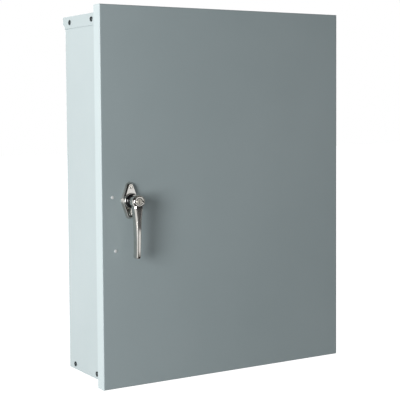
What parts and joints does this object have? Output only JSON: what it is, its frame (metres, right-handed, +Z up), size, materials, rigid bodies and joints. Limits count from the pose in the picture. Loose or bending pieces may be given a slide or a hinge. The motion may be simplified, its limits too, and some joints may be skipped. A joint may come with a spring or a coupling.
{
  "type": "ac disconnect box",
  "caption": "Wall-hung sheet-steel electrical cabinet with a hinged door, keyed L-handle latch and a moulded-case disconnect switch inside.",
  "frame": {"origin": "on the wall plane, at the centre of the four wall bolts", "axes": "+X to the right as seen from the front, +Y into the wall, +Z up; the door faces -Y"},
  "size_m": [0.512, 0.1902, 0.6604],
  "materials": {
    "cabinet_paint": "ANSI 61 grey polyester powder coat, semi-gloss, fine orange peel",
    "door_paint": "ANSI 61 grey polyester powder coat, semi-gloss, fine orange peel",
    "zinc_steel": "zinc-plated steel, clear passivated",
    "chrome": "polished chrome on die-cast zinc",
    "gasket_foam": "closed-cell neoprene foam",
    "panel_paint": "white enamel on sheet steel",
    "black_bmc": "moulded thermoset, matt black",
    "copper": "bare copper strap with silver contact",
    "lug_aluminium": "tin-plated extruded aluminium",
    "neutral_plastic": "white moulded nylon insulator",
    "clear_sheet": "clear polycarbonate sheet",
    "fibre": "red vulcanised fibre and steel arc plates",
    "barrier_sheet": "dark grey insulating sheet",
    "trip_red": "red moulded nylon",
    "black_nylon": "black moulded nylon",
    "black_zinc": "black zinc-plated steel",
    "lock_nickel": "nickel-plated brass plug"
  },
  "bodies": {
    "cabinet": {"cabinet_wrap": "cabinet_paint", "top_end_cap": "cabinet_paint", "bottom_end_wall": "cabinet_paint", "cap_screws": "black_zinc", "bottom_wall_screws": "black_zinc", "latch_strike": "zinc_steel", "hinge_body_leaf": "zinc_steel", "hinge_pin": "zinc_steel", "hinge_body_rivets": "zinc_steel", "mounting_panel": "panel_paint", "panel_studs": "zinc_steel", "panel_nuts": "zinc_steel", "switch_base": "black_bmc", "switch_cover": "black_bmc", "switch_cover_screws": "zinc_steel", "switch_mount_screws": "zinc_steel", "line_terminals": "copper", "load_terminals": "copper", "line_lugs": "lug_aluminium", "load_lugs": "lug_aluminium", "lug_screws": "zinc_steel", "phase_barriers": "barrier_sheet", "mechanism_frame": "zinc_steel", "toggle_pin": "zinc_steel", "arc_chutes": "fibre", "neutral_bar": "lug_aluminium", "neutral_insulators": "neutral_plastic", "neutral_bar_screws": "zinc_steel", "ground_bar": "lug_aluminium", "ground_bar_screws": "zinc_steel", "line_shield": "clear_sheet", "shield_posts": "zinc_steel", "shield_screws": "zinc_steel"},
    "door": {"door_panel": "door_paint", "door_gasket": "gasket_foam", "hinge_door_leaf": "zinc_steel", "hinge_door_rivets": "zinc_steel", "latch_stiffener": "zinc_steel", "latch_rivets": "zinc_steel", "escutcheon": "chrome", "escutcheon_screws": "chrome", "escutcheon_nuts": "zinc_steel", "bearing_sleeve": "black_nylon"},
    "handle": {"door_handle": "chrome", "lock_cylinder": "chrome", "handle_spindle": "zinc_steel", "spindle_spacer": "zinc_steel", "latch_tongue": "zinc_steel", "tongue_screw": "zinc_steel"},
    "lock_plug": {"lock_plug": "lock_nickel"},
    "toggle": {"switch_toggle": "black_bmc"},
    "contacts": {"contact_crossbar": "black_bmc", "moving_contacts": "copper"},
    "trip_button": {"trip_button": "trip_red"}
  },
  "joints": [
    {"name": "door_swing", "type": "hinge", "parent": "cabinet", "child": "door", "pos_m": [0.2545, -0.126, 0], "axis": [0, 0, 1], "range_deg": [0, 170]},
    {"name": "handle_turn", "type": "hinge", "parent": "door", "child": "handle", "pos_m": [-0.201, -0.159, -0.0047], "axis": [0, -1, 0], "range_deg": [0, 90]},
    {"name": "key_turn", "type": "hinge", "parent": "handle", "child": "lock_plug", "pos_m": [-0.201, -0.183, -0.0047], "axis": [0, -1, 0], "range_deg": [0, 90]},
    {"name": "toggle_throw", "type": "hinge", "parent": "cabinet", "child": "toggle", "pos_m": [0, -0.066, 0.03], "axis": [1, 0, 0], "range_deg": [0, 44]},
    {"name": "contact_swing", "type": "hinge", "parent": "cabinet", "child": "contacts", "pos_m": [0, -0.044, 0.008], "axis": [1, 0, 0], "range_deg": [0, 26]},
    {"name": "trip_press", "type": "slide", "parent": "cabinet", "child": "trip_button", "axis": [0, 1, 0], "range_m": [0, 0.002], "stiffness_N_per_m": 200}
  ],
  "couplings": [
    {"joint": "contact_swing", "follows": "toggle_throw", "ratio": 0.59091}
  ]
}
